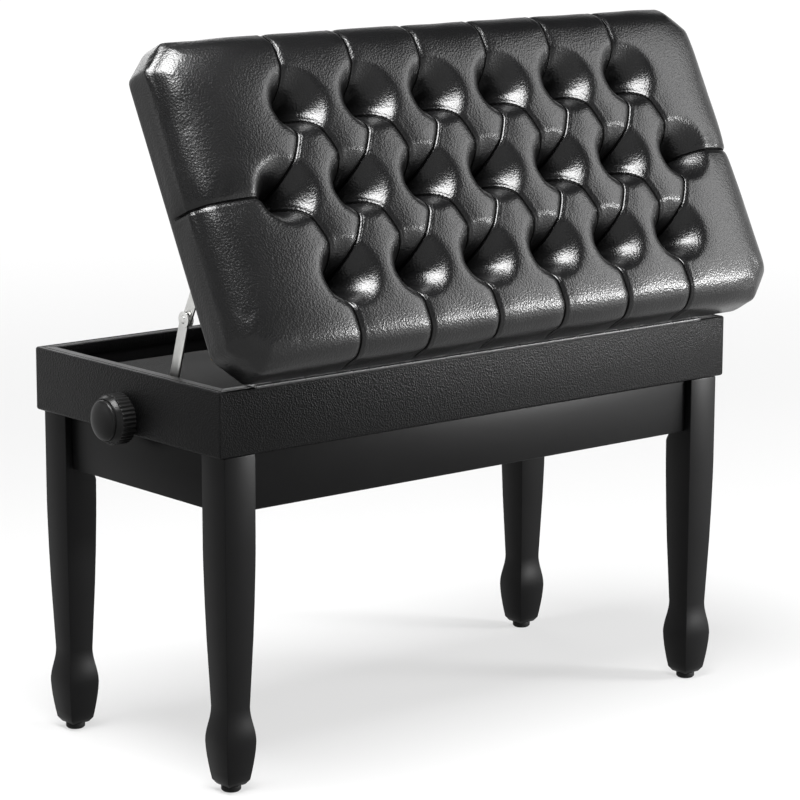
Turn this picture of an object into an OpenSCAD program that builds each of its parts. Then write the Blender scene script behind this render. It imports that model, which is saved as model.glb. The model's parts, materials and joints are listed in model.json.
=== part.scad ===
// Duet piano bench with a deep-tufted lid, a music tray and a screw-and-scissor lift.
// X runs along the bench, -Y is the hinge side, Z is up. The origin is on the floor,
// under the middle of the four legs. The seat box is at its lowest and the lid is open.

/* [Seat box] */
// Length of the leather-covered seat box
box_length = 750; // [744:1:756]
// Depth of the seat box, front to back
box_depth = 347; // [344:1:350]
// Height of the seat box
box_height = 72.6; // [72:0.1:74]
// Thickness of the wooden rails under their covers
rail_thick = 15; // [14:0.5:16]
// Thickness of the leather and its backing
cover_thick = 1.2; // [1:0.1:1.4]
// Width of the cover that is folded down inside the rim
cover_fold = 13; // [10:1:14]
// Radius of the cover's long outer edges
cover_round = 3; // [2:0.5:4]
// Depth of the music tray below the rim
tray_depth = 28; // [27:0.5:29]

/* [Legs and frame] */
// Height of the leg tops, which carry the box at its lowest
leg_height = 374; // [370:1:380]
// Width of the square leg at its top
leg_width = 41.4; // [40:0.1:42]
// Width of the leg at its neck, above the foot
neck_width = 30.8; // [29:0.1:33]
// Width of the spade foot at its widest
foot_width = 40.4; // [38:0.1:42]
// Width of the foot at its toe
toe_width = 28.4; // [26:0.1:30]
// Distance over the outer faces of the legs, along the bench
spread_x = 733.8; // [730:0.1:736]
// Distance over the outer faces of the legs, front to back
spread_y = 340.4; // [338:0.1:342]
// Height of the aprons
apron_height = 62.5; // [60:0.5:64]
// Thickness of the aprons
apron_thick = 18; // [16:1:19]
// How far the aprons stand back from the legs' outer faces
apron_setback = 7.5; // [6:0.5:9]
// Shadow gap between an apron's end and the leg
shadow_gap = 2.5; // [1:0.5:3]

/* [Lid and seat] */
// Angle of the lid above closed
lid_open = 62.8; // [62:0.1:63]
// Length of the seat
lid_length = 794; // [786:1:796]
// Depth of the seat, from the hinge side
lid_depth = 377; // [374:1:380]
// How far the seat stands off centre along the bench
lid_shift = 19; // [0:1:20]
// Size of the seat's cut corners
lid_corner = 32; // [30:1:40]
// Thickness of the base board
board_thick = 12; // [11:0.5:13]
// Height of the seat pad above the board
pad_height = 53.5; // [50:0.5:56]
// Outward bulge of the pad's sides
pad_bulge = 4; // [2:0.5:5]
// Distance between tufts in a row
tuft_pitch_x = 98.4; // [96:0.1:100]
// Distance between the rows of tufts
tuft_pitch_y = 98.2; // [96:0.1:100]
// How far the tufts stand off the middle of the seat along the bench
tuft_shift = 6; // [0:1:8]
// How far the middle row of tufts stands off the middle of the seat, towards the hinge
tuft_drop = 3; // [0:0.5:4]
// Diameter of the covered buttons
button_dia = 20; // [18:1:22]

/* [Lift] */
// Length of a scissor arm between its end pivots
arm_length = 260; // [258:1:262]
// Distance of the fixed arm pivots from the middle of the bench
arm_pivot_x = 330; // [329:0.5:330.5]
// Height of the lower arm pivots above the floor
base_pivot_z = 328; // [327:0.5:329]
// Diameter of the lead screw
screw_dia = 12; // [10:1:12]
// Diameter of the hand knobs
knob_dia = 57; // [54:1:60]
// Thickness of the hand knobs
knob_thick = 26; // [24:1:28]
// Number of grip ribs round a knob
knob_ribs = 36; // [24:2:40]

/* [Lid stays] */
// Distance of the lid stays from the middle of the bench
stay_x = 345; // [344:0.5:346]
// Width of the stay bars
stay_width = 15; // [14:0.5:15]
// Thickness of the stay bars
stay_thick = 2.5; // [2:0.1:2.5]

/* [Hidden] */
$fn = 48;

// Finishes
satin_black = [0.07, 0.07, 0.07];
leather_black = [0.04, 0.04, 0.045];
raw_wood = [0.55, 0.42, 0.28];
felt_black = [0.05, 0.05, 0.05];
zinc = [0.78, 0.78, 0.76];
black_steel = [0.12, 0.12, 0.12];
foam_grey = [0.6, 0.6, 0.62];
plastic_black = [0.06, 0.06, 0.06];

// Heights of the seat box at its lowest
rest_gap = 0.4;
box_z = leg_height + rest_gap;
rim_z = box_z + box_height;
tray_z = rim_z - tray_depth;
lining_thick = 1;
tray_floor_thick = 6;
rail_x = box_length / 2 - cover_thick;
rail_y = box_depth / 2 - cover_thick;
inner_x = rail_x - rail_thick;
inner_y = rail_y - rail_thick;

// Leg and apron places
glide_height = 7;
leg_x = (spread_x - leg_width) / 2;
leg_y = (spread_y - leg_width) / 2;
foot_z = 56;
neck_z = 95;
taper_z = 290;
apron_z = leg_height - 0.5 - apron_height;
apron_x = spread_x / 2 - apron_setback;
apron_y = spread_y / 2 - apron_setback;
apron_in_x = apron_x - apron_thick;
apron_in_y = apron_y - apron_thick;
leg_in_x = spread_x / 2 - leg_width;
leg_in_y = spread_y / 2 - leg_width;

// Corner block and its bolts, measured along the diagonal of each corner
flat_cut = 7;
flat_run = 17;
flat_sum = leg_in_x + leg_in_y + flat_cut * sqrt(2);
block_thick = 20;
block_height = 44;
block_z = apron_z + 8;
bolt_dia = 8;
bolt_length = 52;
bolt_zs = [block_z + 11, block_z + 33];
hole_slack = 0.1;

// Lift places
screw_z = box_z + 18.6;
arm_rise = screw_z - base_pivot_z;
arm_angle = asin(arm_rise / arm_length);
nut_x = arm_pivot_x - arm_length * cos(arm_angle);
arm_thick = 4;
arm_half = 10;
pivot_dia = 10;
running = 0.05;
lift_arm_y = 62;
slide_arm_y = 68;
channel_y0 = 72;
channel_y1 = 84;
channel_wall = 2;
channel_half = 15;
roller_dia = 20;
axle_dia = 8;
axle_end_y = 81.5;
nut_bar_dia = 12;
eye_half = 12;

// Hinge line at the front top edge of the box
leaf_thick = 0.9;
leaf_width = 18;
knuckle_dia = 4.8;
pin_dia = 3;
hinge_y = -box_depth / 2 - knuckle_dia / 2 - 0.4;
hinge_z = rim_z + 1.2;
hinge_length = 660;
knuckle_count = 30;
knuckle_pitch = hinge_length / knuckle_count;
knuckle_gap = 0.3;
hinge_screw_count = 10;

// Lid places, as distances from the hinge line: v is across the lid, n is off its underside
board_n = 1.2;
lid_v = -box_depth / 2 - hinge_y;
pad_n = board_n + board_thick;
well_n = pad_n + 4;
lining_n = 0.6;

// Lid stays: fixed pivot and elbow in the open lid's side view, as [y, z]
stay_base = [-49, rim_z - 17];
stay_elbow = [-73, rim_z + 61];
stay_v = 140.5;
stay_n = -9;
stay_pin = 5;
stay_top = [hinge_y + stay_v * cos(lid_open) - stay_n * sin(lid_open),
    hinge_z + stay_v * sin(lid_open) + stay_n * cos(lid_open)];
stay_gap = 0.5;
washer_dia = 18;

// Points of an arc about [x, y]
function arc(x, y, r, from, to, steps = 6) =
    [for (i = [0:steps]) let (a = from + (to - from) * i / steps) [x + r * cos(a), y + r * sin(a)]];

// Half width of the leg at a height: convex toe, swelling foot, neck, then the long taper
function toe_half(z) =
    foot_width / 2 - (foot_width - toe_width) / 2 * pow((foot_z - z) / (foot_z - glide_height), 1.5);
function swell_half(z) =
    neck_width / 2 + (foot_width - neck_width) / 2 * (1 - cos(180 * (neck_z - z) / (neck_z - foot_z))) / 2;
function taper_half(z) =
    neck_width / 2 + (leg_width - neck_width) / 2 * (1 - pow((taper_z - z) / (taper_z - neck_z), 1.7));

toe_round = 3;
leg_side = concat(
    [[toe_half(glide_height) - toe_round, glide_height]],
    [for (i = [1:6]) let (z = glide_height + (foot_z - glide_height) * i / 6 - toe_round * (6 - i) / 6)
        [toe_half(z), z]],
    [for (i = [1:9]) let (z = foot_z + (neck_z - foot_z) * i / 9) [swell_half(z), z]],
    [for (i = [1:10]) let (z = neck_z + (taper_z - neck_z) * i / 10) [taper_half(z), z]],
    [[leg_width / 2, leg_height]]);

module mirror_x(on) {
    if (on) mirror([1, 0, 0]) children();
    else children();
}

module mirror_y(on) {
    if (on) mirror([0, 1, 0]) children();
    else children();
}

// Children drawn for the rear right corner, moved to the corner with these signs
module corner(sx, sy) {
    mirror_x(sx < 0) mirror_y(sy < 0) children();
}

module four_corners() {
    for (sx = [-1, 1]) for (sy = [-1, 1]) corner(sx, sy) children();
}

// Children drawn in the lid's closed frame, turned about the hinge line to the open lid
module on_lid() {
    translate([0, hinge_y, hinge_z]) rotate([lid_open, 0, 0]) children();
}

// A round bar along X or Y
module bar_x(d, x0, x1) {
    translate([x0, 0, 0]) rotate([0, 90, 0]) cylinder(d = d, h = x1 - x0);
}

module bar_y(d, y0, y1) {
    translate([0, y1, 0]) rotate([90, 0, 0]) cylinder(d = d, h = y1 - y0);
}

// ---- Leg frame ----

module leg_profile() {
    mirrored = [for (i = [len(leg_side) - 1:-1:0]) [-leg_side[i][0], leg_side[i][1]]];
    polygon(concat(leg_side, mirrored));
}

// Frame along the diagonal of the rear right corner, with X pointing out through the leg
module corner_diagonal() {
    translate([leg_in_x, leg_in_y, 0]) rotate([0, 0, 45]) children();
}

module leg(sx, sy) {
    color(satin_black) corner(sx, sy) difference() {
        translate([leg_x, leg_y, 0]) intersection() {
            rotate([90, 0, 0]) linear_extrude(60, center = true) leg_profile();
            rotate([90, 0, 90]) linear_extrude(60, center = true) leg_profile();
        }
        corner_diagonal() rotate([90, 0, 0]) linear_extrude(50, center = true)
            polygon([[-5, apron_z - flat_run - 12], [flat_cut, apron_z], [flat_cut, leg_height + 1],
                [-5, leg_height + 1]]);
        for (z = bolt_zs) corner_diagonal() translate([0, 0, z])
            bar_x(bolt_dia + hole_slack, 0, bolt_length - block_thick - 4);
    }
}

module leg_front_left() leg(-1, -1);
module leg_front_right() leg(1, -1);
module leg_rear_left() leg(-1, 1);
module leg_rear_right() leg(1, 1);

module long_apron(sy) {
    half = leg_in_x - shadow_gap;
    color(satin_black) mirror_y(sy < 0)
        translate([-half, apron_in_y, apron_z]) cube([2 * half, apron_thick, apron_height]);
}

module short_apron(sx) {
    half = leg_in_y - shadow_gap;
    color(satin_black) mirror_x(sx < 0)
        translate([apron_in_x, -half, apron_z]) cube([apron_thick, 2 * half, apron_height]);
}

module apron_front() long_apron(-1);
module apron_rear() long_apron(1);
module apron_left() short_apron(-1);
module apron_right() short_apron(1);

module corner_blocks() {
    back_sum = flat_sum - block_thick * sqrt(2);
    color(raw_wood) four_corners() difference() {
        translate([0, 0, block_z]) linear_extrude(block_height)
            polygon([[flat_sum - apron_in_y, apron_in_y], [apron_in_x, flat_sum - apron_in_x],
                [apron_in_x, back_sum - apron_in_x], [back_sum - apron_in_y, apron_in_y]]);
        for (z = bolt_zs) corner_diagonal() translate([0, 0, z])
            bar_x(bolt_dia + 0.6, -block_thick, flat_cut + 1);
    }
}

// Wood screws from each corner block into its two aprons
module block_screws() {
    screw_z0 = block_z + block_height / 2;
    along_x = flat_sum - apron_in_y - 14;
    along_y = flat_sum - apron_in_x - 14;
    color(zinc) four_corners() {
        translate([along_x, 0, screw_z0]) bar_y(4, apron_in_y - 14, apron_in_y + 12);
        translate([along_x, 0, screw_z0]) bar_y(8, apron_in_y - 17, apron_in_y - 14);
        translate([0, along_y, screw_z0]) bar_x(4, apron_in_x - 14, apron_in_x + 12);
        translate([0, along_y, screw_z0]) bar_x(8, apron_in_x - 17, apron_in_x - 14);
    }
}

module hanger_bolts() {
    inner_end = flat_cut - block_thick - 12;
    color(zinc) four_corners() corner_diagonal() for (z = bolt_zs)
        translate([0, 0, z]) bar_x(bolt_dia, inner_end, inner_end + bolt_length);
}

module hanger_nuts() {
    block_back = flat_cut - block_thick;
    color(zinc) four_corners() corner_diagonal() for (z = bolt_zs) translate([block_back, 0, z])
        rotate([0, -90, 0]) difference() {
            union() {
                cylinder(d = 18, h = 1.5);
                translate([0, 0, 1.5]) cylinder(d = 15, h = 6.5, $fn = 6);
            }
            translate([0, 0, -1]) cylinder(d = bolt_dia + hole_slack, h = 12);
        }
}

module foot_glides() {
    color(plastic_black) four_corners() translate([leg_x, leg_y, 0]) {
        cylinder(d1 = 18, d2 = 22, h = 2);
        translate([0, 0, 2]) cylinder(d = 22, h = glide_height - 2);
    }
}

// Two steel channels between the short aprons, open towards each other
module lift_channels() {
    half = apron_in_x;
    height = 2 * channel_half;
    color(black_steel) for (front = [true, false]) mirror_y(front)
        translate([0, 0, base_pivot_z - channel_half]) difference() {
            translate([-half, channel_y0, 0]) cube([2 * half, channel_y1 - channel_y0, height]);
            translate([3 - half, channel_y0 - 1, channel_wall])
                cube([2 * half - 6, channel_y1 - channel_y0 - channel_wall + 1, height - 2 * channel_wall]);
            for (x = [-arm_pivot_x, arm_pivot_x]) translate([x, 0, channel_half])
                bar_y(pivot_dia, channel_y0, channel_y1 + 1);
        }
}

module base_pivots() {
    color(zinc) for (front = [true, false]) mirror_y(front) for (x = [-arm_pivot_x, arm_pivot_x])
        translate([x, 0, base_pivot_z]) {
            bar_y(pivot_dia, lift_arm_y - 4, channel_y1);
            bar_y(15, channel_y1, channel_y1 + 3);
        }
}

// ---- Seat box ----

module long_rail(sy) {
    color(raw_wood) mirror_y(sy < 0) translate([-rail_x, inner_y, box_z + cover_thick])
        cube([2 * rail_x, rail_thick, box_height - 2 * cover_thick]);
}

module short_rail(sx) {
    color(raw_wood) mirror_x(sx < 0) difference() {
        translate([inner_x, -inner_y, box_z + cover_thick])
            cube([rail_thick, 2 * inner_y, box_height - 2 * cover_thick]);
        translate([0, 0, screw_z]) bar_x(18 + hole_slack, inner_x - 1, rail_x + 1);
    }
}

module rail_front() long_rail(-1);
module rail_rear() long_rail(1);
module rail_left() short_rail(-1);
module rail_right() short_rail(1);

// Cross-section of a cover: under the rail, up its outer face, over the rim and down inside
module cover_section() {
    deep = rail_thick + 2 * cover_thick;
    difference() {
        polygon(concat(
            arc(-cover_round, cover_round, cover_round, -90, 0),
            arc(-cover_round, box_height - cover_round, cover_round, 0, 90),
            [[-deep, box_height], [-deep, box_height - cover_fold],
                [-deep + cover_thick, box_height - cover_fold], [-deep + cover_thick, 0]]));
        translate([-cover_thick - rail_thick, cover_thick])
            square([rail_thick, box_height - 2 * cover_thick]);
    }
}

// A cover strip for one side, mitred at its corners
module cover_strip(length, reach) {
    miter = rail_thick + 2 * cover_thick + 1;
    color(leather_black) translate([0, reach, box_z]) intersection() {
        rotate([90, 0, 90]) linear_extrude(length, center = true) cover_section();
        linear_extrude(box_height) polygon([[-length / 2, 0], [length / 2, 0],
            [length / 2 - miter, -miter], [miter - length / 2, -miter]]);
    }
}

module end_cover() {
    difference() {
        rotate([0, 0, -90]) cover_strip(box_depth, box_length / 2);
        translate([0, 0, screw_z]) bar_x(20, inner_x, box_length / 2 + 1);
    }
}

module cover_front() mirror([0, 1, 0]) cover_strip(box_length, box_depth / 2);
module cover_rear() cover_strip(box_length, box_depth / 2);
module cover_left() color(leather_black) mirror([1, 0, 0]) end_cover();
module cover_right() color(leather_black) end_cover();

module tray_floor() {
    color(raw_wood) translate([-inner_x, -inner_y, tray_z - lining_thick - tray_floor_thick])
        cube([2 * inner_x, 2 * inner_y, tray_floor_thick]);
}

module tray_lining() {
    color(felt_black) translate([-inner_x, -inner_y, tray_z - lining_thick])
        cube([2 * inner_x, 2 * inner_y, lining_thick]);
}

module tray_cleats() {
    height = 10;
    width = 15;
    color(raw_wood) for (sy = [-1, 1]) mirror_y(sy < 0)
        translate([-inner_x, inner_y - width, tray_z - lining_thick - tray_floor_thick - height])
            cube([2 * inner_x, width, height]);
}

module screw_bushes() {
    color([0.85, 0.85, 0.8]) for (sx = [-1, 1]) mirror_x(sx < 0) translate([0, 0, screw_z])
        difference() {
            union() {
                bar_x(18, inner_x, rail_x);
                bar_x(26, inner_x - 2, inner_x);
            }
            bar_x(screw_dia + 2 * running, inner_x - 3, rail_x + 1);
        }
}

// Steel brackets on the end rails that carry the top pivots of the slide arms
module arm_brackets() {
    plate_y0 = slide_arm_y + arm_thick / 2 + 2;
    plate_y1 = plate_y0 + 3;
    color(black_steel) four_corners() union() {
        translate([arm_pivot_x - 12, plate_y0, screw_z - 13]) cube([inner_x - arm_pivot_x + 12, 3, 24]);
        translate([inner_x - 3, plate_y0, screw_z - 13]) cube([3, 28, 24]);
        translate([arm_pivot_x, 0, screw_z]) bar_y(pivot_dia, slide_arm_y - 3, plate_y1);
    }
}

// ---- Piano hinge ----

// Knuckles of one leaf, every second segment along the pin
module knuckles(first) {
    for (i = [first:2:knuckle_count - 1]) difference() {
        union() {
            bar_x(knuckle_dia, knuckle_x(i), knuckle_x(i + 1) - knuckle_gap);
            knuckle_web(i);
        }
        bar_x(pin_dia + 2 * running, knuckle_x(i) - 1, knuckle_x(i + 1) + 1);
    }
}

function knuckle_x(i) = -hinge_length / 2 + knuckle_pitch * i;

// The tongue of leaf metal between a knuckle and the leaf's plate, drawn above the pin
module knuckle_web(i) {
    translate([knuckle_x(i), 0, board_n - leaf_thick])
        cube([knuckle_pitch - knuckle_gap, lid_v + 0.5, leaf_thick]);
}

// A whole leaf in the frame of the closed lid, its plate on the underside of the board
module hinge_leaf(first) {
    union() {
        knuckles(first);
        difference() {
            translate([-hinge_length / 2, lid_v, board_n - leaf_thick])
                cube([hinge_length - knuckle_gap, leaf_width, leaf_thick]);
            hinge_screw_places() translate([0, 0, -1]) cylinder(d = 4.2, h = 4);
        }
    }
}

module hinge_screw_places() {
    for (i = [0:hinge_screw_count - 1])
        translate([(i - (hinge_screw_count - 1) / 2) * hinge_length / hinge_screw_count,
            lid_v + leaf_width * 0.6, 0]) children();
}

// Flat-headed screws that fill the leaf's holes and run into the wood
module hinge_screw_row() {
    hinge_screw_places() {
        translate([0, 0, board_n - leaf_thick]) cylinder(d = 4, h = leaf_thick);
        translate([0, 0, board_n]) cylinder(d = 2.6, h = 9);
    }
}

// The lower leaf is the same piece upside down on the rim
module on_rim() {
    translate([0, hinge_y, hinge_z]) mirror([0, 0, 1]) children();
}

module hinge_leaf_lower() color(black_steel) on_rim() hinge_leaf(0);
module hinge_screws_lower() color(black_steel) on_rim() hinge_screw_row();
module hinge_leaf_upper() color(black_steel) on_lid() hinge_leaf(1);
module hinge_screws_upper() color(black_steel) on_lid() hinge_screw_row();

module hinge_pin() {
    color(zinc) on_lid() bar_x(pin_dia, -hinge_length / 2, hinge_length / 2 - knuckle_gap);
}

// ---- Lead screw, knobs and nuts ----

module lead_screw() {
    end = box_length / 2 + 22;
    color(zinc) translate([0, 0, screw_z]) bar_x(screw_dia, -end, end);
}

module screw_collars() {
    color(zinc) for (sx = [-1, 1]) mirror_x(sx < 0) translate([0, 0, screw_z]) difference() {
        bar_x(24, inner_x - 11, inner_x - 3);
        bar_x(screw_dia + hole_slack, inner_x - 12, inner_x);
    }
}

knob_gap = 4;
knob_grip = 17;
knob_flute = 1.3;

function knob_radius(a) = knob_dia / 2 - knob_flute * (1 - cos(knob_ribs * a)) / 2;

// A knob with its axis on Z, its back at 0: ribbed grip, bevelled front with a seat for the cap
module knob_body() {
    steps = knob_ribs * 4;
    bevel_dia = knob_dia - 2 * knob_flute - 1;
    difference() {
        union() {
            linear_extrude(knob_grip) polygon([for (i = [0:steps - 1])
                let (a = i * 360 / steps) knob_radius(a) * [cos(a), sin(a)]]);
            translate([0, 0, knob_grip])
                cylinder(d1 = bevel_dia, d2 = knob_dia - 9, h = knob_thick - knob_grip - 3);
        }
        translate([0, 0, -1]) cylinder(d = screw_dia + hole_slack, h = 20);
        translate([0, 0, knob_thick - 5]) cylinder(d = knob_dia - 11.8, h = 6);
    }
}

module knob_cap_body() {
    rim = knob_dia - 12;
    color(plastic_black) translate([0, 0, knob_thick - 5]) rotate_extrude()
        polygon(concat([[0, 0], [rim / 2, 0]],
            [for (i = [0:8]) let (a = i * 90 / 8) [rim / 2 * cos(a), 3.5 + 6.5 * sin(a)]]));
}

// Children drawn with their axis on Z, put on the end of the lead screw
module on_screw_end(left) {
    mirror_x(left) translate([box_length / 2 + knob_gap, 0, screw_z]) rotate([0, 90, 0]) children();
}

module knob_left() color(plastic_black) on_screw_end(true) knob_body();
module knob_right() color(plastic_black) on_screw_end(false) knob_body();
module knob_cap_left() on_screw_end(true) knob_cap_body();
module knob_cap_right() on_screw_end(false) knob_cap_body();

module traverse_nut(left) {
    block = 28;
    color(zinc) mirror_x(left) translate([nut_x, 0, screw_z]) difference() {
        union() {
            translate([-block / 2, -block / 2, -block / 2]) cube(block);
            bar_y(nut_bar_dia, -lift_arm_y - 3.5, lift_arm_y + 3.5);
        }
        bar_x(screw_dia + 2 * running, -block, block);
    }
}

module traverse_nut_left() traverse_nut(true);
module traverse_nut_right() traverse_nut(false);

// ---- Scissor arms ----

// A flat arm along -X from its fixed eye at the origin, standing in the XZ plane
module arm_blank(y, far_half) {
    translate([0, y - arm_thick / 2, 0]) {
        bar_y(2 * arm_half, 0, arm_thick);
        translate([-arm_length, 0, 0]) bar_y(2 * far_half, 0, arm_thick);
        translate([-arm_length, 0, -arm_half]) cube([arm_length, arm_thick, 2 * arm_half]);
    }
}

module arm_hole(d, x) {
    translate([x, 0, 0]) bar_y(d, -channel_y1, channel_y1);
}

slot_slack = 0.6;
slot_run = 4.2;

// Arm pair from the base pivots up to the nut, with the cross pins of the scissor
module lift_arm(left) {
    slot = nut_bar_dia + 2 * slot_slack;
    color(black_steel) mirror_x(left) translate([arm_pivot_x, 0, base_pivot_z])
        rotate([0, arm_angle, 0]) {
            for (sy = [-1, 1]) mirror_y(sy < 0) union() {
                difference() {
                    arm_blank(lift_arm_y, eye_half);
                    arm_hole(pivot_dia + 2 * running, 0);
                    arm_hole(slot, -arm_length);
                    arm_hole(slot, -arm_length + slot_run);
                    translate([-arm_length, 0, -slot / 2]) cube([slot_run, channel_y0, slot]);
                }
                translate([-arm_length / 2, 0, 0]) bar_y(8, lift_arm_y - 5, slide_arm_y + 3.5);
            }
        }
}

// Arm pair from the box's brackets down to the rollers
module slide_arm(left) {
    color(black_steel) mirror_x(left) translate([arm_pivot_x, 0, screw_z])
        rotate([0, -arm_angle, 0]) for (sy = [-1, 1]) mirror_y(sy < 0) difference() {
            arm_blank(slide_arm_y, arm_half);
            arm_hole(pivot_dia + 2 * running, 0);
            arm_hole(12.4, -arm_length / 2);
            arm_hole(axle_dia + hole_slack, -arm_length);
        }
}

// Cross axle at the foot of the slide arms, with a roller in each channel
module rollers(left) {
    roller_y0 = slide_arm_y + arm_thick / 2 + 3;
    mirror_x(left) translate([nut_x, 0, base_pivot_z]) {
        color(zinc) bar_y(axle_dia, -axle_end_y, axle_end_y);
        color([0.85, 0.85, 0.8]) for (sy = [-1, 1]) mirror_y(sy < 0) difference() {
            bar_y(roller_dia, roller_y0, axle_end_y - 1);
            bar_y(axle_dia + hole_slack, roller_y0 - 1, axle_end_y);
        }
    }
}

module lift_arm_left() lift_arm(true);
module lift_arm_right() lift_arm(false);
module slide_arm_left() slide_arm(true);
module slide_arm_right() slide_arm(false);
module rollers_left() rollers(true);
module rollers_right() rollers(false);

// ---- Lid ----

// The seat's outline with its cut corners, grown or shrunk by a margin
module seat_outline(margin) {
    x = lid_length / 2 + margin;
    v0 = lid_v - margin;
    v1 = lid_v + lid_depth + margin;
    c = lid_corner + margin * (2 - sqrt(2));
    translate([lid_shift, 0]) polygon([[-x + c, v0], [x - c, v0], [x, v0 + c], [x, v1 - c],
        [x - c, v1], [-x + c, v1], [-x, v1 - c], [-x, v0 + c]]);
}

module lid_board() {
    color(raw_wood) on_lid() translate([0, 0, board_n]) linear_extrude(board_thick)
        seat_outline(-cover_thick);
}

// The pad's swelling form, shrunk by a margin
module pad_form(margin) {
    slices = [[0, 0], [18, pad_bulge], [38, pad_bulge / 2], [pad_height - margin, -26]];
    hull() for (s = slices) translate([0, 0, pad_n + s[0] - 0.01])
        linear_extrude(0.01) seat_outline(s[1] - margin);
}

// Tuft places: six, seven and six, the middle row half a pitch out of step
module tuft_places() {
    for (row = [-1:1]) let (count = 7 - abs(row)) for (i = [0:count - 1])
        translate([lid_shift + tuft_shift + (i - (count - 1) / 2) * tuft_pitch_x,
            lid_v + lid_depth / 2 - tuft_drop + row * tuft_pitch_y, 0]) children();
}

module tuft_wells(d, floor_n) {
    tuft_places() translate([0, 0, floor_n]) cylinder(d = d, h = pad_height + 10, $fn = 24);
}

well_dia = button_dia + 2;

module foam_pad() {
    color(foam_grey) on_lid() difference() {
        pad_form(cover_thick);
        tuft_wells(well_dia + 2 * cover_thick, well_n);
        translate([-lid_length, -lid_depth, pad_n - 10]) cube([2 * lid_length, 3 * lid_depth, 10]);
    }
}

// Leather over the pad, down into every tuft and round the edge of the board
module leather_cover() {
    color(leather_black) on_lid() difference() {
        union() {
            pad_form(0);
            translate([0, 0, board_n]) linear_extrude(board_thick) seat_outline(0);
        }
        difference() {
            pad_form(cover_thick);
            tuft_wells(well_dia + 2 * cover_thick, well_n);
        }
        tuft_wells(well_dia, well_n + cover_thick);
        translate([0, 0, board_n - 1]) linear_extrude(board_thick + 1) seat_outline(-cover_thick);
    }
}

module tuft_buttons() {
    color(leather_black) on_lid() tuft_places() translate([0, 0, well_n + cover_thick]) {
        cylinder(d = button_dia, h = 2);
        translate([0, 0, 2]) cylinder(d1 = button_dia, d2 = button_dia * 0.55, h = 3);
    }
}

module dust_cover() {
    border = 22;
    color(felt_black) on_lid() translate([0, 0, lining_n]) linear_extrude(board_n - lining_n)
        seat_outline(-border);
}

// ---- Lid stays ----

// Layers along X, measured outwards from the middle of the bench on the right-hand side
stay_upper_x0 = stay_x - stay_thick - stay_gap / 2 - 0.75;
stay_lower_x0 = stay_upper_x0 + stay_thick + stay_gap;

// A flat bar between two points of the side view, with a hole at its first end
module stay_bar(x0, from, to) {
    turn = atan2(to[1] - from[1], to[0] - from[0]);
    length = norm(to - from);
    translate([x0, from[0], from[1]]) rotate([turn, 0, 0]) difference() {
        union() {
            bar_x(stay_width, 0, stay_thick);
            translate([0, length, 0]) bar_x(stay_width, 0, stay_thick);
            translate([0, 0, -stay_width / 2]) cube([stay_thick, length, stay_width]);
        }
        bar_x(stay_pin + 2 * running, -1, stay_thick + 1);
    }
}

// Half of the elbow rivet: a washer and a low head, on the outer face of its own bar
module elbow_head(x0, outwards) {
    step = outwards ? 1 : -1;
    translate([x0, stay_elbow[0], stay_elbow[1]]) rotate([0, 90 * step, 0]) {
        cylinder(d = washer_dia, h = 1);
        translate([0, 0, 1]) cylinder(d1 = 9, d2 = 6, h = 1.6);
    }
}

module stay_lower(left) {
    color(zinc) mirror_x(left) union() {
        stay_bar(stay_lower_x0, stay_base, stay_elbow);
        elbow_head(stay_lower_x0 + stay_thick, true);
    }
}

module stay_upper(left) {
    color(zinc) mirror_x(left) union() {
        stay_bar(stay_upper_x0, stay_top, stay_elbow);
        elbow_head(stay_upper_x0, false);
    }
}

module stay_lower_left() stay_lower(true);
module stay_lower_right() stay_lower(false);
module stay_upper_left() stay_upper(true);
module stay_upper_right() stay_upper(false);

// Plates on the end rails, with a boss and pin for the lower stay bar
module stay_brackets_lower() {
    pin_from = stay_lower_x0 - 0.4;
    boss_from = stay_lower_x0 + stay_thick + 0.4;
    boss_dia = 7.4;
    color(zinc) for (left = [true, false]) mirror_x(left) union() {
        translate([inner_x - 2, stay_base[0] - 16, tray_z + 0.5]) cube([2, 32, 13.5]);
        translate([0, stay_base[0], stay_base[1]]) {
            bar_x(boss_dia, boss_from, inner_x);
            bar_x(stay_pin, pin_from, inner_x);
            bar_x(9, pin_from - 1, pin_from);
        }
    }
}

// Angle brackets under the lid, with a tab and pin for the upper stay bar
module stay_brackets_upper() {
    tab_x1 = stay_upper_x0 - 0.5;
    tab_x0 = tab_x1 - 2;
    flange = 20;
    color(zinc) for (left = [true, false]) mirror_x(left) on_lid() union() {
        translate([tab_x0 - flange, stay_v - 14, lining_n - 2]) cube([flange + 2, 28, 2]);
        translate([tab_x0, stay_v - 7, stay_n]) cube([2, 14, lining_n - stay_n]);
        translate([0, stay_v, stay_n]) {
            bar_x(14, tab_x0, tab_x1);
            bar_x(stay_pin, tab_x0, stay_upper_x0 + stay_thick);
        }
    }
}

leg_front_left();
leg_front_right();
leg_rear_left();
leg_rear_right();
apron_front();
apron_rear();
apron_left();
apron_right();
corner_blocks();
block_screws();
hanger_bolts();
hanger_nuts();
foot_glides();
lift_channels();
base_pivots();
rail_front();
rail_rear();
rail_left();
rail_right();
cover_front();
cover_rear();
cover_left();
cover_right();
tray_floor();
tray_lining();
tray_cleats();
screw_bushes();
arm_brackets();
hinge_leaf_lower();
hinge_screws_lower();
stay_brackets_lower();
lead_screw();
screw_collars();
knob_left();
knob_right();
knob_cap_left();
knob_cap_right();
traverse_nut_left();
traverse_nut_right();
lift_arm_left();
lift_arm_right();
slide_arm_left();
slide_arm_right();
rollers_left();
rollers_right();
lid_board();
foam_pad();
leather_cover();
tuft_buttons();
dust_cover();
hinge_leaf_upper();
hinge_pin();
hinge_screws_upper();
stay_brackets_upper();
stay_lower_left();
stay_lower_right();
stay_upper_left();
stay_upper_right();
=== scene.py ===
import json
import math

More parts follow.
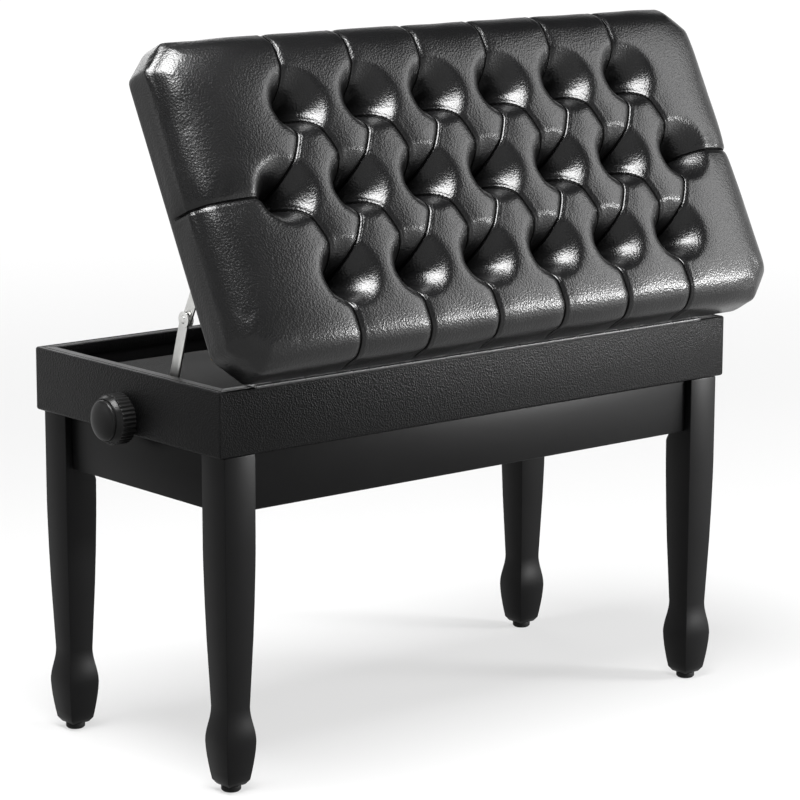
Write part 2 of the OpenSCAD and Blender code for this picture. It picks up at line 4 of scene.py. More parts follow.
import bmesh
import bpy
import numpy as np
from mathutils import Matrix, Vector, noise

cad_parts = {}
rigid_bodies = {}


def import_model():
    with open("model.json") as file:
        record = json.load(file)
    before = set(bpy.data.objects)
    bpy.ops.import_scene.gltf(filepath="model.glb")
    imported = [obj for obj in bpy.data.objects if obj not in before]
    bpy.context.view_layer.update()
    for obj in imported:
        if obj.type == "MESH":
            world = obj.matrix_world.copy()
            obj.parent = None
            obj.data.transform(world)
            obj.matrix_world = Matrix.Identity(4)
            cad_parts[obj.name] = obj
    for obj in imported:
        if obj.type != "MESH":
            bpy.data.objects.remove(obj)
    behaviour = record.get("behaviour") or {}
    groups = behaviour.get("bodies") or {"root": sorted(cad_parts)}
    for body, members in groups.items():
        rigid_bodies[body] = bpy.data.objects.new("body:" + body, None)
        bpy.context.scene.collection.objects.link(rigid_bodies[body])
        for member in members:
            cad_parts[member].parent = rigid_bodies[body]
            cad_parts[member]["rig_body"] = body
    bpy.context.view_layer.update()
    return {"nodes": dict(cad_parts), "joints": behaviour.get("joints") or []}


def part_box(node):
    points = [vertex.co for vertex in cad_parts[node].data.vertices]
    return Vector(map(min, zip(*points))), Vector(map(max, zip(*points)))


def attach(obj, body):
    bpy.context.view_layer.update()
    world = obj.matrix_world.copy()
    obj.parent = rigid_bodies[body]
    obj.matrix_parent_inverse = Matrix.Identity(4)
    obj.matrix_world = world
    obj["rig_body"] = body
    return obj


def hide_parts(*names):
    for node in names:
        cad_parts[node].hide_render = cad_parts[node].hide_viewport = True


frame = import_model()


# Camera. A long lens off the left-hand end of the bench, a little above the open seat,
# so that the tufted lid, the front, the left-hand knob and the music tray all show.
camera_place = Vector((-2.3320, -2.8097, 1.0979))
camera_yaw, camera_pitch, camera_roll = (math.radians(a) for a in (39.886, 11.353, 0.147))
ahead = Vector((math.sin(camera_yaw) * math.cos(camera_pitch),
                math.cos(camera_yaw) * math.cos(camera_pitch), -math.sin(camera_pitch)))
level = Vector((math.cos(camera_yaw), -math.sin(camera_yaw), 0))
upright = level.cross(ahead)
camera_x = math.cos(camera_roll) * level + math.sin(camera_roll) * upright
camera_y = math.cos(camera_roll) * upright - math.sin(camera_roll) * level
lens = bpy.data.cameras.new("long_lens")
lens.sensor_width = 36
lens.lens = 143.7
camera = bpy.data.objects.new("studio_camera", lens)
bpy.context.scene.collection.objects.link(camera)
camera.matrix_world = (Matrix.Translation(camera_place)
                       @ Matrix((camera_x, camera_y, -ahead)).transposed().to_4x4())
bpy.context.scene.camera = camera


# Studio. A wide, pale floor and a far round wall that both glow a little, as if lit from
# behind. Soft boxes hang overhead and to the right, with weak ones to the left and behind and
# a low one over the floor. None of it belongs to the bench.
floor_across = 90
wall_radius = 30
wall_height = 12
wall_sunk = 0.1


class Value:
    """A shader socket. Sums and products on it add Math nodes to its finish."""

    def __init__(self, finish, socket):
        self.finish = finish
        self.socket = socket

    def maths(self, operation, first, second):
        return self.finish.node("ShaderNodeMath", {"operation": operation}, {0: first, 1: second})

    def __add__(self, other):
        return self.maths("ADD", self, other)

    def __sub__(self, other):
        return self.maths("SUBTRACT", self, other)

    def __rsub__(self, other):
        return self.maths("SUBTRACT", other, self)

    def __mul__(self, other):
        return self.maths("MULTIPLY", self, other)

    __radd__ = __add__
    __rmul__ = __mul__


class Finish:
    """One procedural material and the nodes that make it."""

    def __init__(self, name):
        self.material = bpy.data.materials.new(name)
        self.material.use_nodes = True
        self.tree = self.material.node_tree
        self.tree.nodes.clear()

    def node(self, kind, settings, values, output=0):
        made = self.tree.nodes.new(kind)
        for setting, choice in settings.items():
            setattr(made, setting, choice)
        for socket, value in values.items():
            if isinstance(value, Value):
                self.tree.links.new(value.socket, made.inputs[socket])
            else:
                made.inputs[socket].default_value = value
        return Value(self, made.outputs[output])

    def place(self):
        return self.node("ShaderNodeTexCoord", {}, {}, "Object")

    def noise(self, scale, detail=3, roughness=0.55, stretch=(1, 1, 1)):
        where = self.node("ShaderNodeMapping", {}, {"Vector": self.place(), "Scale": stretch})
        return self.node("ShaderNodeTexNoise", {},
                         {"Vector": where, "Scale": scale, "Detail": detail, "Roughness": roughness})

    def fade(self, value, start, end):
        """0 below start, 1 above end, smooth between. With start above end it falls instead."""
        return self.node("ShaderNodeMapRange", {"interpolation_type": "SMOOTHSTEP"},
                         {"Value": value, "From Min": start, "From Max": end})

    def tint(self, mask, first, second):
        """From one colour, where the mask is 0, to the other, where it is 1."""
        factor, colour_a, colour_b, colour_result = 0, 6, 7, 2
        return self.node("ShaderNodeMix", {"data_type": "RGBA"},
                         {factor: mask, colour_a: (*first, 1), colour_b: (*second, 1)}, colour_result)

    def relief(self, height, distance, strength=1.0, under=None):
        sockets = {"Height": height, "Distance": distance, "Strength": strength}
        if under is not None:
            sockets["Normal"] = under
        return self.node("ShaderNodeBump", {}, sockets)

    def coat(self, gap=None, **sockets):
        """Ends the finish: a Principled surface with these sockets, named with _ for a space.
        Where the mask given as gap is 1, a near-black matte surface stands in for it: painted shade, as
        at the bottom of a crease."""
        named = {name.replace("_", " "): value for name, value in sockets.items()}
        surface = self.node("ShaderNodeBsdfPrincipled", {}, named)
        if gap is not None:
            # Painted shade: a near-black matte surface with no shine, mixed in by the mask.
            painted_shade = self.node("ShaderNodeBsdfDiffuse", {}, {"Color": (0.0008, 0.0008, 0.0008, 1)})
            surface = self.node("ShaderNodeMixShader", {}, {0: gap, 1: surface, 2: painted_shade})
        output = self.tree.nodes.new("ShaderNodeOutputMaterial")
        self.tree.links.new(surface.socket, output.inputs["Surface"])
        return self.material


def fresh_primitive(adder, name, **settings):
    """Adds a primitive with everything else deselected, and returns it, named."""
    bpy.ops.object.select_all(action="DESELECT")
    adder(**settings)
    piece = bpy.context.active_object
    piece.name = name
    return piece


def paint(piece, material):
    piece.data.materials.clear()
    piece.data.materials.append(material)


def studio_white():
    """Grey round the bench, so that its shadow shows, and bright from a few metres out: a painted glow
    that rises with distance, not lamp light.
    """
    finish = Finish("pale_sweep")
    cloud = finish.noise(0.8, detail=2)
    away = finish.node("ShaderNodeVectorMath", {"operation": "LENGTH"}, {0: finish.place()}, "Value")
    # Painted glow: the emission rises from grey near the bench to white further out.
    glow = finish.fade(away, 1.0, 5.0)
    return finish.coat(Base_Color=finish.tint(cloud, (0.10,) * 3, (0.11,) * 3), Roughness=0.9,
                       Specular_IOR_Level=0.1, Emission_Color=finish.tint(glow, (0.60,) * 3, (1.0,) * 3),
                       Emission_Strength=1.0)


floor = fresh_primitive(bpy.ops.mesh.primitive_plane_add, "studio_floor", size=floor_across)
wall = fresh_primitive(bpy.ops.mesh.primitive_cylinder_add, "studio_wall", vertices=96,
                       radius=wall_radius, depth=wall_height, end_fill_type="NOTHING",
                       location=(0, 0, wall_height / 2 - wall_sunk))
bpy.ops.object.transform_apply(location=True)
white = studio_white()
for backdrop in (floor, wall):
    paint(backdrop, white)

for lamp_name, lamp_place, aim, lamp_size, power in (
        ("overhead_box", (-0.70, -0.35, 2.7), (0.0, -0.15, 0.6), (1.7, 1.1), 330),
        ("right_box", (2.8, -1.8, 2.3), (0.2, -0.1, 0.6), (1.6, 1.6), 68),
        ("floor_wash", (2.1, -1.95, 0.9), (2.1, -1.9499, 0.0), (0.7, 0.7), 600),
        ("left_box", (-2.6, 1.2, 1.5), (-0.2, 0.0, 0.2), (1.2, 1.6), 10),
        ("rear_box", (0.9, 3.0, 1.9), (0.0, 0.0, 0.4), (1.6, 1.2), 25)):
    bpy.ops.object.light_add(type="AREA", location=lamp_place)
    lamp = bpy.context.active_object
    lamp.name = lamp_name
    lamp.data.shape = "RECTANGLE"
    lamp.data.size, lamp.data.size_y = lamp_size
    lamp.data.energy = power
    lamp.rotation_euler = (Vector(aim) - Vector(lamp_place)).to_track_quat("-Z", "Y").to_euler()

surround = bpy.data.worlds.new("studio_surround")
surround.use_nodes = True
background = surround.node_tree.nodes["Background"]
background.inputs["Color"].default_value = (0.92, 0.93, 0.95, 1)
background.inputs["Strength"].default_value = 0.05
bpy.context.scene.world = surround
bpy.context.scene.view_settings.view_transform = "Standard"


# Leg frame. Four square hardwood legs on spade feet, with aprons let in between them, all
# sprayed satin black. The arrises are sanded round before they are sprayed.
leg_arris = 0.0012
apron_arris = 0.0010
board_edge = 0.010


def select_only(*pieces):
    """Selects these pieces and nothing else, and makes the first of them active."""
    bpy.ops.object.select_all(action="DESELECT")
    for piece in pieces:
        piece.select_set(True)
    bpy.context.view_layer.objects.active = pieces[0]


def edit(piece):
    select_only(piece)
    bpy.ops.object.mode_set(mode="EDIT")


def pick(piece, kind, test):
    """In edit mode, selects only the edges or faces that pass the test."""
    bpy.ops.mesh.select_mode(type={"edges": "EDGE", "faces": "FACE"}[kind])
    bpy.ops.mesh.select_all(action="DESELECT")
    shape = bmesh.from_edit_mesh(piece.data)
    for part in getattr(shape, kind):
        if test(part):
            part.select_set(True)
    bmesh.update_edit_mesh(piece.data)


def sharp(edge, shortest):
    """A ridge or step between two faces, long enough to be an arris and not part of a bore."""
    return (len(edge.link_faces) == 2 and edge.calc_length() > shortest
            and edge.calc_face_angle(0) > math.radians(35))


def stands_for(piece, body, material, slot, *nodes):
    """Finishes a piece, and sets which body it rides on and which CAD nodes it takes over."""
    paint(piece, material)
    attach(piece, body)
    if nodes:
        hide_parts(*nodes)
    return piece


def eased(node, width, material, slot, shortest=0.003, smooth=32):
    """A machined or sanded copy of a CAD piece: its facets merged and its arrises, down to the
    shortest, rounded. Faces that meet at less than the smooth angle are shaded as one."""
    weld = 0.00002
    same_plane = math.radians(0.6)
    source = frame["nodes"][node]
    piece = source.copy()
    piece.data = source.data.copy()
    piece.name = node + "_finished"
    piece.parent = None
    for tag in list(piece.keys()):
        del piece[tag]
    bpy.context.scene.collection.objects.link(piece)
    edit(piece)
    bpy.ops.mesh.select_all(action="SELECT")
    bpy.ops.mesh.customdata_custom_splitnormals_clear()
    bpy.ops.mesh.remove_doubles(threshold=weld)
    bpy.ops.mesh.dissolve_limited(angle_limit=same_plane)
    pick(piece, "edges", lambda edge: sharp(edge, shortest))
    bpy.ops.mesh.bevel(offset=width, segments=2, affect="EDGES", clamp_overlap=False)
    bpy.ops.object.mode_set(mode="OBJECT")
    bpy.ops.object.shade_smooth_by_angle(angle=math.radians(smooth))
    return stands_for(piece, source["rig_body"], material, slot, node)


def satin_paint():
    finish = Finish("satin_black_lacquer")
    peel = finish.noise(340, detail=2)
    haze = finish.noise(9, detail=4)
    pores = finish.noise(90, detail=4, stretch=(1, 1, 0.06))
    ground = finish.relief(pores, 0.00012, 0.35)
    return finish.coat(Base_Color=finish.tint(haze, (0.0012, 0.0012, 0.0013), (0.0022, 0.0022, 0.0023)),
                       Roughness=0.31 + 0.10 * haze + 0.05 * peel, IOR=1.42, Specular_IOR_Level=0.11,
                       Normal=finish.relief(peel, 0.00005, 0.5, ground))


satin_black = satin_paint()
for corner in ("front_left", "front_right", "rear_left", "rear_right"):
    eased("leg_" + corner, leg_arris, satin_black, "painted_wood")
for side in ("front", "rear", "left", "right"):
    eased("apron_" + side, apron_arris, satin_black, "painted_wood", shortest=board_edge)


# Corner blocks and their ironwork. Pine blocks are screwed to the aprons and drawn up to the
# legs by hanger bolts with flanged nuts. All of it is hidden behind the aprons.
block_arris = 0.0010
block_edge = 0.006
iron_arris = 0.0004
iron_edge = 0.0004


def pine():
    finish = Finish("planed_pine")
    rings = finish.noise(38, detail=5, stretch=(0.25, 1, 1))
    pores = finish.noise(420, detail=2, stretch=(0.08, 1, 1))
    grain = finish.fade(rings, 0.35, 0.68)
    return finish.coat(Base_Color=finish.tint(grain, (0.50, 0.36, 0.20), (0.33, 0.21, 0.105)),
                       Roughness=0.62 + 0.12 * pores, Normal=finish.relief(pores, 0.0002, 0.5))


def bright_zinc():
    finish = Finish("bright_zinc_plate")
    spangle = finish.noise(160, detail=3)
    brushed = finish.noise(900, detail=2, stretch=(1, 0.05, 1))
    return finish.coat(Base_Color=finish.tint(spangle, (0.50, 0.50, 0.49), (0.66, 0.66, 0.64)),
                       Metallic=1.0, Roughness=0.26 + 0.16 * spangle,
                       Normal=finish.relief(brushed, 0.00003, 0.4))


planed_pine = pine()
zinc = bright_zinc()
eased("corner_blocks", block_arris, planed_pine, "bare_wood", shortest=block_edge)
for fixing in ("block_screws", "hanger_bolts", "hanger_nuts", "base_pivots"):
    eased(fixing, iron_arris, zinc, "zinc_steel", shortest=iron_edge, smooth=40)


# Foot glides. Round pads of black nylon, one nailed under the toe of each foot, so that the
# bench slides on a hard floor without marking it.
def moulded_plastic(name, dark, light, roughness):
    finish = Finish(name)
    spark = finish.noise(1500, detail=2)
    cloud = finish.noise(25, detail=3)
    return finish.coat(Base_Color=finish.tint(cloud, dark, light), Specular_IOR_Level=0.08,
                       Roughness=roughness + 0.06 * cloud, Normal=finish.relief(spark, 0.00004, 0.5))


eased("foot_glides", iron_arris, moulded_plastic("glide_nylon", (0.005,) * 3, (0.009,) * 3, 0.5),
      "glide_plastic", shortest=iron_edge)


# Lift. Two pairs of steel scissor arms run on rollers in channels that are hung between the
# short aprons. They are powder-coated black; the pins, screw and nuts are bright zinc.
arm_edge = 0.0015


def powder_coat():
    finish = Finish("black_powder_coat")
    stipple = finish.noise(1100, detail=2)
    cloud = finish.noise(30, detail=3)
    return finish.coat(Base_Color=finish.tint(cloud, (0.006, 0.006, 0.0065), (0.010, 0.010, 0.0105)),
                       Roughness=0.40 + 0.10 * cloud, Normal=finish.relief(stipple, 0.00008, 0.6))


black_steel = powder_coat()
for part in ("lift_channels", "arm_brackets", "lift_arm_left", "lift_arm_right",
             "slide_arm_left", "slide_arm_right"):
    eased(part, iron_arris, black_steel, "black_steel", shortest=arm_edge)
for part in ("traverse_nut_left", "traverse_nut_right", "rollers_left", "rollers_right",
             "screw_collars"):
    eased(part, iron_arris, zinc, "zinc_steel", shortest=iron_edge)
bush_white = moulded_plastic("bush_acetal", (0.70, 0.69, 0.64), (0.78, 0.77, 0.72), 0.42)
eased("screw_bushes", iron_arris, bush_white, "bush_plastic", shortest=iron_edge)


# Lead screw. A bar of bright steel, right-hand threaded to one side of the middle and
# left-hand to the other, with plain journals where it runs in the bushes.
def threaded_bar():
    finish = Finish("threaded_bright_steel")
    along = finish.node("ShaderNodeSeparateXYZ", {}, {"Vector": finish.place()}, "X")
    half_thread = 0.001
    thread = finish.node("ShaderNodeMath", {"operation": "PINGPONG"}, {0: along, 1: half_thread})
    spangle = finish.noise(200, detail=3)
    return finish.coat(Base_Color=finish.tint(spangle, (0.42, 0.42, 0.41), (0.58, 0.58, 0.56)),
                       Metallic=1.0, Roughness=0.30 + 0.15 * spangle,
                       Normal=finish.relief(thread * (1 / half_thread), 0.0009, 0.9))


eased("lead_screw", iron_arris, threaded_bar(), "zinc_steel", shortest=iron_edge)


# Seat box. Four rails, stained black, glued at the corners, with the tray's thin wooden floor
# resting on cleats. Pebbled leathercloth is drawn tight round each rail and turned down
# inside, with a narrow groove pressed along its rim.
rear_low, rear_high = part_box("cover_rear")
end_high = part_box("cover_right")[1]
screw_low, screw_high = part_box("lead_screw")
screw_z = (screw_low.z + screw_high.z) / 2
screw_hole = 0.010
cover_low = rear_low.z
cover_high = rear_high.z
cover_deep = rear_high.y - rear_low.y
cover_thick = 0.0012
cover_fold = 0.013
corner_gap = 0.0006
groove_in = 0.0042
groove = ((-0.0004, -0.0011), (-0.0010, 0), (-0.0005, 0.0009))
groove_wide = 0.0019
groove_step = 0.0002
rail_arris = 0.0006
cleat_arris = 0.0008
tray_edge = 0.005
hair = 0.000001


def box_leathercloth():
    finish = Finish("box_leathercloth")
    pebble = finish.node("ShaderNodeTexVoronoi", {"feature": "F1"},
                         {"Vector": finish.place(), "Scale": 520, "Randomness": 1.0})
    cloud = finish.noise(14, detail=4)
    slack = finish.noise(5, detail=2)
    dents = finish.relief(slack, 0.0016, 0.5)
    return finish.coat(Base_Color=finish.tint(cloud, (0.0013, 0.0013, 0.0014), (0.0023, 0.0023, 0.0024)),
                       Roughness=0.34 + 0.12 * cloud, IOR=1.43, Specular_IOR_Level=0.11,
                       Normal=finish.relief(pebble, 0.0005, 0.9, dents))


def runs_along(edge, y, z):
    """Whether the middle of an edge is this far out and this high on a strip's section."""
    middle = (edge.verts[0].co + edge.verts[1].co) / 2
    return abs(middle.y - y) < hair and abs(middle.z - z) < hair


def wrap_side(name, node, half_length, reach, turn, bore=None):
    """A strip of leathercloth drawn for the rear rail, folded from a flat sheet edge by edge,
    then turned about Z to its own side of the box, and pierced for the screw at its bore."""
    cover = fresh_primitive(bpy.ops.mesh.primitive_plane_add, name, size=1)
    bpy.ops.object.mode_set(mode="EDIT")
    bpy.ops.transform.resize(value=(2 * half_length, cover_deep, 1))
    bpy.ops.transform.translate(value=(0, reach - cover_deep / 2, cover_low))
    y, z = reach, cover_low
    for out, rise in ((0, cover_high - cover_low), (-groove_in, 0), *groove,
                      (groove_in + groove_wide - cover_deep, 0), (0, -cover_fold)):
        pick(cover, "edges", lambda edge: runs_along(edge, y, z))
        bpy.ops.mesh.extrude_region_move(TRANSFORM_OT_translate={"value": (0, out, rise)})
        y += out
        z += rise
    rounded = ((reach, cover_low, 0.003), (reach, cover_high, 0.0026),
               (reach - groove_in, cover_high, 0.0006),
               (reach - cover_deep, cover_high - groove_step, 0.0014))
    for y, z, radius in rounded:
        pick(cover, "edges", lambda edge: runs_along(edge, y, z))
        bpy.ops.mesh.bevel(offset=radius, segments=4, affect="EDGES", clamp_overlap=False)
    for end in (-1, 1):
        bpy.ops.mesh.select_all(action="SELECT")
        bpy.ops.mesh.bisect(plane_co=(end * (half_length - corner_gap), reach, 0),
                            plane_no=(end, -1, 0), clear_outer=True)
    bpy.ops.mesh.select_all(action="SELECT")
    bpy.ops.mesh.normals_make_consistent(inside=False)
    bpy.ops.object.mode_set(mode="OBJECT")
    outer_face = max(cover.data.polygons, key=lambda face: face.area)
    skin = cover.modifiers.new("skin", "SOLIDIFY")
    skin.thickness = cover_thick
    skin.offset = -1 if outer_face.normal.y > 0 else 1
    hem = cover.modifiers.new("hem", "BEVEL")
    hem.width = 0.0005
    hem.segments = 2
    hem.limit_method = "ANGLE"
    hem.angle_limit = math.radians(50)
    for modifier in (skin.name, hem.name):
        bpy.ops.object.modifier_apply(modifier=modifier)
    cover.data.transform(Matrix.Rotation(turn, 4, "Z"))
    if bore is not None:
        punch = fresh_primitive(bpy.ops.mesh.primitive_cylinder_add, "punch", vertices=64,
                                radius=screw_hole, depth=0.05, location=bore,
                                rotation=(0, math.pi / 2, 0))
        hole = cover.modifiers.new("hole", "BOOLEAN")
        hole.object = punch
        select_only(cover)
        bpy.ops.object.modifier_apply(modifier=hole.name)
        bpy.data.objects.remove(punch)
    bpy.ops.object.shade_smooth_by_angle(angle=math.radians(40))
    return stands_for(cover, "seat_box", leathercloth, "box_leather", node)


leathercloth = box_leathercloth()
wrap_side("rear_cover", "cover_rear", rear_high.x, rear_high.y, 0)
wrap_side("front_cover", "cover_front", rear_high.x, rear_high.y, math.pi)
wrap_side("right_cover", "cover_right", end_high.y, end_high.x, -math.pi / 2, (end_high.x, 0, screw_z))
wrap_side("left_cover", "cover_left", end_high.y, end_high.x, math.pi / 2, (-end_high.x, 0, screw_z))
for side in ("front", "rear", "left", "right"):
    eased("rail_" + side, rail_arris, satin_black, "painted_wood", shortest=board_edge)
eased("tray_floor", rail_arris, planed_pine, "bare_wood", shortest=tray_edge)
eased("tray_cleats", cleat_arris, planed_pine, "bare_wood", shortest=tray_edge)


# Tray lining. A sheet of black felt, cut to the size of the tray and glued to its floor, so
# that what is kept in it doesn't rattle. Its cut edges are fuzzy.
def felt(name, dark, light):
    finish = Finish(name)
    fuzz = finish.noise(1300, detail=4, roughness=0.7)
    cloud = finish.noise(40, detail=4)
    return finish.coat(Base_Color=finish.tint(cloud, dark, light), Roughness=0.95,
                       Specular_IOR_Level=0.15, Sheen_Weight=0.05, Sheen_Roughness=0.5,
                       Normal=finish.relief(fuzz, 0.0004, 0.8))


eased("tray_lining", iron_arris, felt("tray_felt_black", (0.0025,) * 3, (0.005,) * 3), "tray_felt",
      shortest=iron_edge)


# Knobs. Moulded in black plastic: a ribbed grip next to the box, a bevelled front, and a
# domed cap pressed into it. They are pinned to the ends of the lead screw.
knob_arris = 0.0005
cap_arris = 0.0004
knob_edge = 0.0008
knob_plastic = moulded_plastic("knob_plastic_black", (0.004,) * 3, (0.007,) * 3, 0.26)
for side in ("left", "right"):
    eased("knob_" + side, knob_arris, knob_plastic, "knob_plastic", shortest=knob_edge, smooth=45)
    eased("knob_cap_" + side, cap_arris, knob_plastic, "knob_plastic", shortest=knob_edge, smooth=50)


# Piano hinge. Two rolled steel leaves on a long pin, blacked, screwed to the front rail's
# rim and to the underside of the lid.
leaf_arris = 0.0001
leaf_edge = 0.0006
pin_arris = 0.0003
pin_edge = 0.0003
for part in ("hinge_leaf_lower", "hinge_leaf_upper", "hinge_screws_lower", "hinge_screws_upper"):
    eased(part, leaf_arris, black_steel, "black_steel", shortest=leaf_edge)
eased("hinge_pin", pin_arris, zinc, "zinc_steel", shortest=pin_edge)


# Lid. A wooden board with its corners cut off, a foam pad, and one hide of black leather that
# is tufted through the foam, pleated into diamonds and drawn round the board.
hinge_joint = next(joint for joint in frame["joints"] if joint["name"] == "lid_hinge")
lid_turn = (Matrix.Translation(Vector(hinge_joint["pos_m"]))
            @ Matrix.Rotation(-math.radians(hinge_joint["range_deg"][0]), 4, "X"))


def shut_points(node):
    """A lid node's points with the lid shut and the hinge line at the origin: X along the
    bench, Y across the lid from the hinge, Z off its underside."""
    back = lid_turn.inverted()
    return [back @ vertex.co for vertex in frame["nodes"][node].data.vertices]


def shut_box(node):
    points = shut_points(node)
    return [Vector(limit(p[axis] for p in points) for axis in range(3)) for limit in (min, max)]


def corner_cut_of(node):
    """How far the cut corners of a lid node run in along its long side."""
    high = shut_box(node)[1]
    far_edge = [point.x for point in shut_points(node) if point.y > high.y - 0.0005]
    return high.x - max(far_edge)


lid_up = lid_turn.to_3x3() @ Vector((0, 0, 1))
board_arris = 0.0008
board_corner = 0.009
cover_wrap = 0.0007
corner_cut = corner_cut_of("lid_board") + cover_wrap
pad_low, pad_high = shut_box("leather_cover")
pad_swell = 0.004
right_proud = 0.004
pad_left = pad_low.x + pad_swell
pad_right = pad_high.x - pad_swell
pad_near = pad_low.y + pad_swell
pad_far = pad_high.y - pad_swell
pad_under = 0.0005
crown = pad_high.z
button_low, button_high = shut_box("tuft_buttons")
button_width = 0.020
tuft_mid_x = (button_low.x + button_high.x) / 2
tuft_mid_y = (button_low.y + button_high.y) / 2
pitch_x = (button_high.x - button_low.x - button_width) / 6
pitch_y = (button_high.y - button_low.y - button_width) / 2


def round_board_corners(board):
    """Rounds the upright edges of the cut corners, where the leather is drawn round them."""
    least_upright = 0.008
    edit(board)
    pick(board, "edges", lambda edge: edge.calc_length() > least_upright and abs(
        (edge.verts[0].co - edge.verts[1].co).normalized().dot(lid_up)) > 0.99)
    bpy.ops.mesh.bevel(offset=board_corner, segments=4, affect="EDGES")
    bpy.ops.object.mode_set(mode="OBJECT")


def tuft_row(row):
    """Seven tufts in the middle row, 0, and six, half a pitch in, in the rows each side of it."""
    count = 7 - abs(row)
    return [Vector((tuft_mid_x + (i - (count - 1) / 2) * pitch_x, tuft_mid_y + row * pitch_y))
            for i in range(count)]


tuft_rows = {row: tuft_row(row) for row in (-1, 0, 1)}
wells = [well for row in (-1, 0, 1) for well in tuft_rows[row]]


def pleat(start, end, bow_out, bow_in, depth_start, depth_end):
    """A pleat's points between two places on the lid, on a curve with two handles, and how
    deep it lies at each point."""
    steps = np.linspace(0, 1, 33)[:, None]
    a, d = np.array(start), np.array(end)
    b, c = a + np.array(bow_out), d + np.array(bow_in)
    points = ((1 - steps) ** 3 * a + 3 * (1 - steps) ** 2 * steps * b
              + 3 * (1 - steps) * steps ** 2 * c + steps ** 3 * d)
    return points, depth_start + (depth_end - depth_start) * steps[:, 0]


def pleat_plan():
    """Right-down pleats swing out and drop, left-down ones fall and then run in, and the outer
    tufts' pleats run straight over the seat's edges."""
    beside = 0.001
    past_edge = 0.14
    pleats = []
    for upper, lower in ((1, 0), (0, -1)):
        for start in tuft_rows[upper]:
            for end in tuft_rows[lower]:
                if abs(start.x + pitch_x / 2 - end.x) < beside:
                    pleats.append(pleat(start, end, (0.034, -0.018), (-0.003, 0.040), 0.004, 0.003))
                if abs(start.x - pitch_x / 2 - end.x) < beside:
                    pleats.append(pleat(start, end, (0.006, -0.034), (0.022, 0.026), 0.003, 0.003))
    for tufts, run, bow_out, bow_in, depth_start, depth_end in (
            (tuft_rows[1], (0.002, past_edge), (-0.006, 0.030), (0.006, -0.08), 0.004, 0.0006),
            (tuft_rows[-1], (-0.002, -past_edge), (-0.008, -0.024), (0.008, 0.08), 0.004, 0.0010),
            (tuft_rows[0][:1], (-past_edge, 0), (-0.03, 0.002), (0.05, 0), 0.005, 0.002),
            (tuft_rows[0][-1:], (past_edge, 0), (0.03, 0.002), (-0.05, 0), 0.005, 0.002)):
        for start in tufts:
            pleats.append(pleat(start, start + Vector(run), bow_out, bow_in, depth_start, depth_end))
    return pleats


def nearest_pleat(flat):
    """For points on the lid's plan: the signed distance to the nearest pleat, which is positive
    on the side of the fold's lip, and that pleat's depth there."""
    none_near = 1.0
    search = 0.05
    distance = np.full(len(flat), none_near)
    depth = np.zeros(len(flat))
    for points, depths in pleat_plan():
        low, high = points.min(0) - search, points.max(0) + search
        near = np.where(np.all((flat > low) & (flat < high), axis=1))[0]
        starts, runs = points[:-1], points[1:] - points[:-1]
        offsets = flat[near][:, None, :] - starts[None]
        along = np.clip((offsets * runs).sum(2) / (runs ** 2).sum(1), 0, 1)
        gaps = offsets - along[..., None] * runs
        lengths = np.hypot(gaps[..., 0], gaps[..., 1])
        best = lengths.argmin(1)
        rows = np.arange(len(near))
        side = np.sign(offsets[rows, best, 1] * runs[best, 0] - offsets[rows, best, 0] * runs[best, 1])
        closer = lengths[rows, best] < np.abs(distance[near])
        chosen = near[closer]
        distance[chosen] = (lengths[rows, best] * np.where(side == 0, 1, side))[closer]
        depth[chosen] = depths[best][closer]
    return distance, depth


def tuft_pull(flat):
    """How far each point of the plan is drawn down: a wide bowl round every tuft, a little off
    its middle, and a steep throat to its button, with short puckers where the leather gathers."""
    bowl_x, bowl_y, bowl_radius, bowl_depth = 0.007, 0.004, 0.043, 0.023
    throat_radius, throat_depth = 0.0155, 0.028
    pucker_ring, pucker_spread, pucker_depth = 0.021, 0.007, 0.0008
    pull = np.zeros(len(flat))
    for index, well in enumerate(wells):
        offset = flat - np.array(well)
        reach = np.hypot(offset[:, 0], offset[:, 1])
        turn = np.arctan2(offset[:, 1], offset[:, 0])
        bowl_reach = np.hypot(offset[:, 0] - bowl_x, offset[:, 1] - bowl_y)
        bowl = np.clip(1 - (bowl_reach / bowl_radius) ** 2, 0, 1) ** 2
        throat = np.exp(-(reach / throat_radius) ** 2.2)
        puckers = np.sin(turn * (7 + index % 3) + 2.1 * index)
        gather = puckers * np.exp(-((reach - pucker_ring) / pucker_spread) ** 2)
        pull += bowl_depth * bowl + throat_depth * throat + pucker_depth * gather
    return pull


def edge_fall(flat):
    """The crown of the seat: the leather starts to fall well before it turns over the edge."""
    fall = np.zeros(len(flat))
    for gap, reach, drop in ((flat[:, 0] - pad_left, 0.125, 0.017),
                             (pad_right - flat[:, 0], 0.090, 0.009),
                             (flat[:, 1] - pad_near, 0.055, 0.007),
                             (pad_far - flat[:, 1], 0.070, 0.010)):
        fall += drop * np.clip(1 - gap / reach, 0, 1) ** 2
    return fall


def block(name, low, high):
    """A cube resized and moved to fill the space from one corner to the other. It is left in
    edit mode, to be shaped further."""
    piece = fresh_primitive(bpy.ops.mesh.primitive_cube_add, name, size=1)
    bpy.ops.object.mode_set(mode="EDIT")
    bpy.ops.transform.resize(value=[b - a for a, b in zip(low, high)])
    bpy.ops.transform.translate(value=[(a + b) / 2 for a, b in zip(low, high)])
    return piece


def stands_up(edge):
    return abs(edge.verts[0].co.z - edge.verts[1].co.z) > 0.9 * edge.calc_length()


